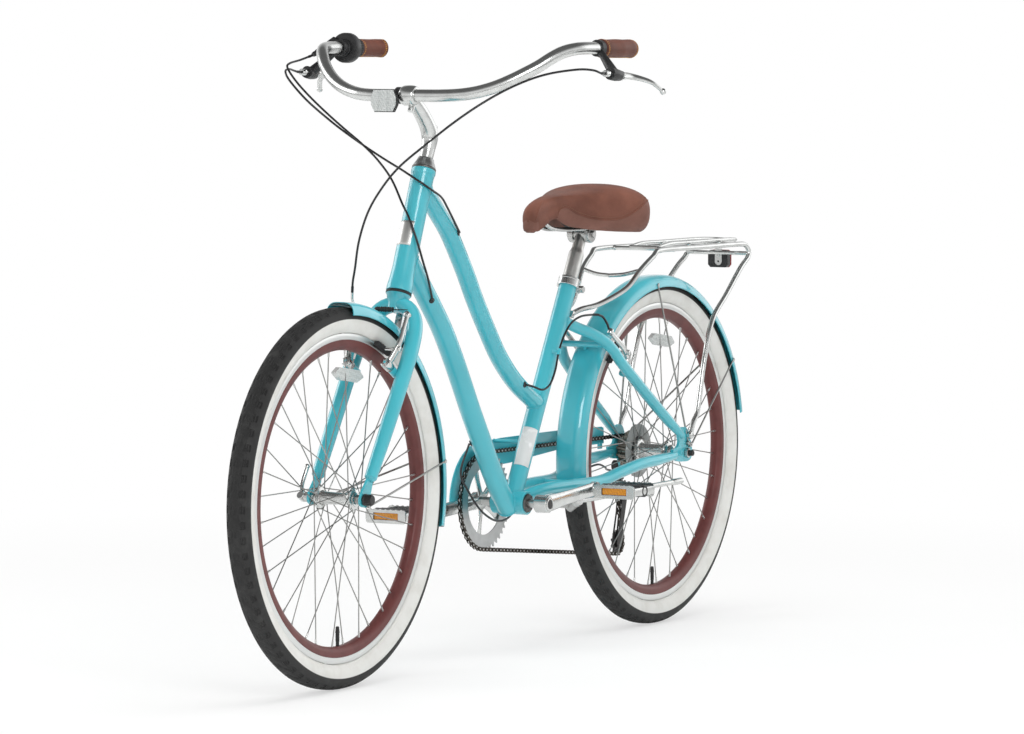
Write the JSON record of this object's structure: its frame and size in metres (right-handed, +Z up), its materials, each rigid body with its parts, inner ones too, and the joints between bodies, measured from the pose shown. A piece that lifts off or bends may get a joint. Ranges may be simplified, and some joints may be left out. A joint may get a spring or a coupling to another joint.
{
  "type": "step-through hybrid bicycle",
  "caption": "Step-through city bicycle with swept-back bar, padded saddle, rear rack, fenders, chain guard, rim brakes, rear derailleur and kickstand.",
  "frame": {"origin": "on the ground, under the middle of the bicycle's overall box", "axes": "+X forward, +Y to the rider's left, +Z up"},
  "size_m": [1.8158, 0.7279, 1.1326],
  "materials": {
    "paint": "gloss turquoise paint",
    "polished": "polished",
    "steel": "plated",
    "black": "satin",
    "leather": "fine grain, satin",
    "tyre": "matte",
    "rim": "satin brown with bare brake track",
    "reflector_clear": "gloss",
    "reflector_red": "gloss",
    "chain": "oiled",
    "cable": "satin"
  },
  "bodies": {
    "frame": {"main_frame": "paint", "head_badge": "polished", "bottom_bracket": "black", "seat_clamp": "polished", "rear_fender": "paint", "rack": "polished", "rear_reflector": "reflector_red", "chain_guard": "paint", "kickstand_bracket": "polished", "derailleur_cage": "black", "derailleur_body": "black", "rear_axle": "black", "chain": "chain", "shift_cable_front": "cable", "rear_brake_cable_front": "cable", "rear_brake_cable_rear": "cable", "shift_cable_loop": "cable"},
    "steering": {"fork": "paint", "headset_cover": "polished", "stem": "polished", "handlebar": "polished", "grip_left": "leather", "grip_right": "leather", "shifter_housing": "black", "lever_bracket_left": "black", "lever_bracket_right": "black", "front_reflector": "reflector_clear", "front_fender": "paint", "front_skewer": "black", "front_brake_cable": "cable"},
    "front_wheel": {"front_tyre": "tyre", "front_rim": "rim", "front_hub": "steel"},
    "rear_wheel": {"rear_tyre": "tyre", "rear_rim": "rim", "rear_hub": "steel"},
    "freewheel": {"freewheel": "steel"},
    "cranks": {"crank_spindle": "steel", "crank_left": "polished", "crank_right": "polished", "chainring": "polished"},
    "pedal_left": {"pedal_left": "polished"},
    "pedal_right": {"pedal_right": "polished"},
    "guide_pulley": {"guide_pulley": "black"},
    "tension_pulley": {"tension_pulley": "black"},
    "brake_lever_left": {"brake_lever_left": "polished"},
    "brake_lever_right": {"brake_lever_right": "polished"},
    "front_brake_arm_left": {"front_brake_arm_left": "polished"},
    "front_brake_arm_right": {"front_brake_arm_right": "polished"},
    "rear_brake_arm_left": {"rear_brake_arm_left": "polished"},
    "rear_brake_arm_right": {"rear_brake_arm_right": "polished"},
    "shifter_twist": {"shifter_twist": "black"},
    "kickstand": {"kickstand_leg": "polished"},
    "seat_post": {"seat_post": "polished"},
    "saddle": {"saddle_clamp": "steel", "saddle": "leather"},
    "front_skewer_lever": {"front_skewer_lever": "polished"},
    "seat_clamp_lever": {"seat_clamp_lever": "polished"}
  },
  "joints": [
    {"name": "steering", "type": "hinge", "parent": "frame", "child": "steering", "pos_m": [0.3694, 0, 0.678], "axis": [-0.3746, 0, 0.9272], "range_deg": [-50, 50], "deforming": ["shift_cable_front", "rear_brake_cable_front"]},
    {"name": "front_wheel_spin", "type": "hinge", "parent": "steering", "child": "front_wheel", "pos_m": [0.57728, 0, 0.33058], "axis": [0, 1, 0], "continuous": true},
    {"name": "rear_wheel_spin", "type": "hinge", "parent": "frame", "child": "rear_wheel", "pos_m": [-0.57372, 0, 0.33058], "axis": [0, 1, 0], "continuous": true},
    {"name": "crank_spin", "type": "hinge", "parent": "frame", "child": "cranks", "pos_m": [-0.02848, 0, 0.27558], "axis": [0, 1, 0], "continuous": true},
    {"name": "freewheel_spin", "type": "hinge", "parent": "frame", "child": "freewheel", "pos_m": [-0.57372, 0, 0.33058], "axis": [0, 1, 0], "continuous": true},
    {"name": "guide_pulley_spin", "type": "hinge", "parent": "frame", "child": "guide_pulley", "pos_m": [-0.56722, -0.0615, 0.25], "axis": [0, 1, 0], "continuous": true},
    {"name": "tension_pulley_spin", "type": "hinge", "parent": "frame", "child": "tension_pulley", "pos_m": [-0.54522, -0.0615, 0.155], "axis": [0, 1, 0], "continuous": true},
    {"name": "pedal_left_spin", "type": "hinge", "parent": "cranks", "child": "pedal_left", "pos_m": [-0.19778, 0.1425, 0.29099], "axis": [0, 1, 0], "continuous": true},
    {"name": "pedal_right_spin", "type": "hinge", "parent": "cranks", "child": "pedal_right", "pos_m": [0.14082, -0.1425, 0.26017], "axis": [0, 1, 0], "continuous": true},
    {"name": "brake_lever_left_pull", "type": "hinge", "parent": "steering", "child": "brake_lever_left", "pos_m": [0.13419, 0.31702, 1.05728], "axis": [0.107, 0.6491, 0.7531], "range_deg": [0, 28], "stiffness_Nm_per_rad": 0.5, "springref_deg": -11.46, "deforming": ["front_brake_cable"]},
    {"name": "brake_lever_right_pull", "type": "hinge", "parent": "steering", "child": "brake_lever_right", "pos_m": [0.13369, -0.31705, 1.05728], "axis": [-0.107, 0.6491, -0.7531], "range_deg": [0, 28], "stiffness_Nm_per_rad": 0.5, "springref_deg": -11.46, "deforming": ["rear_brake_cable_rear"]},
    {"name": "front_brake_left", "type": "hinge", "parent": "steering", "child": "front_brake_arm_left", "pos_m": [0.47501, 0.04, 0.55693], "axis": [0.848, 0, 0.53], "range_deg": [0, 3]},
    {"name": "front_brake_right", "type": "hinge", "parent": "steering", "child": "front_brake_arm_right", "pos_m": [0.47501, -0.04, 0.55693], "axis": [-0.848, 0, -0.53], "range_deg": [0, 3]},
    {"name": "rear_brake_left", "type": "hinge", "parent": "frame", "child": "rear_brake_arm_left", "pos_m": [-0.39905, 0.04, 0.51889], "axis": [0.557, 0, -0.8305], "range_deg": [0, 3]},
    {"name": "rear_brake_right", "type": "hinge", "parent": "frame", "child": "rear_brake_arm_right", "pos_m": [-0.39905, -0.04, 0.51889], "axis": [-0.557, 0, 0.8305], "range_deg": [0, 3]},
    {"name": "gear_twist", "type": "hinge", "parent": "steering", "child": "shifter_twist", "pos_m": [0.08272, -0.26877, 1.10469], "axis": [-0.9995, 0.0311, -0.0037], "range_deg": [0, 130]},
    {"name": "kickstand_swing", "type": "hinge", "parent": "frame", "child": "kickstand", "pos_m": [-0.20822, 0.034, 0.262], "axis": [-0.2231, -0.8105, -0.5416], "range_deg": [0, 79.5]},
    {"name": "seat_height", "type": "slide", "parent": "frame", "child": "seat_post", "axis": [-0.4802, 0, 0.8771], "range_m": [-0.04, 0.07]},
    {"name": "saddle_tilt", "type": "hinge", "parent": "seat_post", "child": "saddle", "pos_m": [-0.29213, 0, 0.75713], "axis": [0, 1, 0], "range_deg": [-10, 12]},
    {"name": "front_skewer_lever_turn", "type": "hinge", "parent": "steering", "child": "front_skewer_lever", "pos_m": [0.57728, -0.0713, 0.33058], "axis": [0.8836, 0, 0.4683], "range_deg": [0, 160]},
    {"name": "seat_clamp_lever_turn", "type": "hinge", "parent": "frame", "child": "seat_clamp_lever", "pos_m": [-0.26483, -0.0178, 0.65522], "axis": [-0.9495, 0, -0.3139], "range_deg": [0, 140]}
  ],
  "couplings": [
    {"joint": "freewheel_spin", "follows": "crank_spin", "ratio": 3.1429},
    {"joint": "guide_pulley_spin", "follows": "crank_spin", "ratio": -4},
    {"joint": "tension_pulley_spin", "follows": "crank_spin", "ratio": 4},
    {"joint": "front_brake_left", "follows": "brake_lever_left_pull", "ratio": 0.107},
    {"joint": "front_brake_right", "follows": "brake_lever_left_pull", "ratio": 0.107},
    {"joint": "rear_brake_left", "follows": "brake_lever_right_pull", "ratio": 0.107},
    {"joint": "rear_brake_right", "follows": "brake_lever_right_pull", "ratio": 0.107}
  ]
}
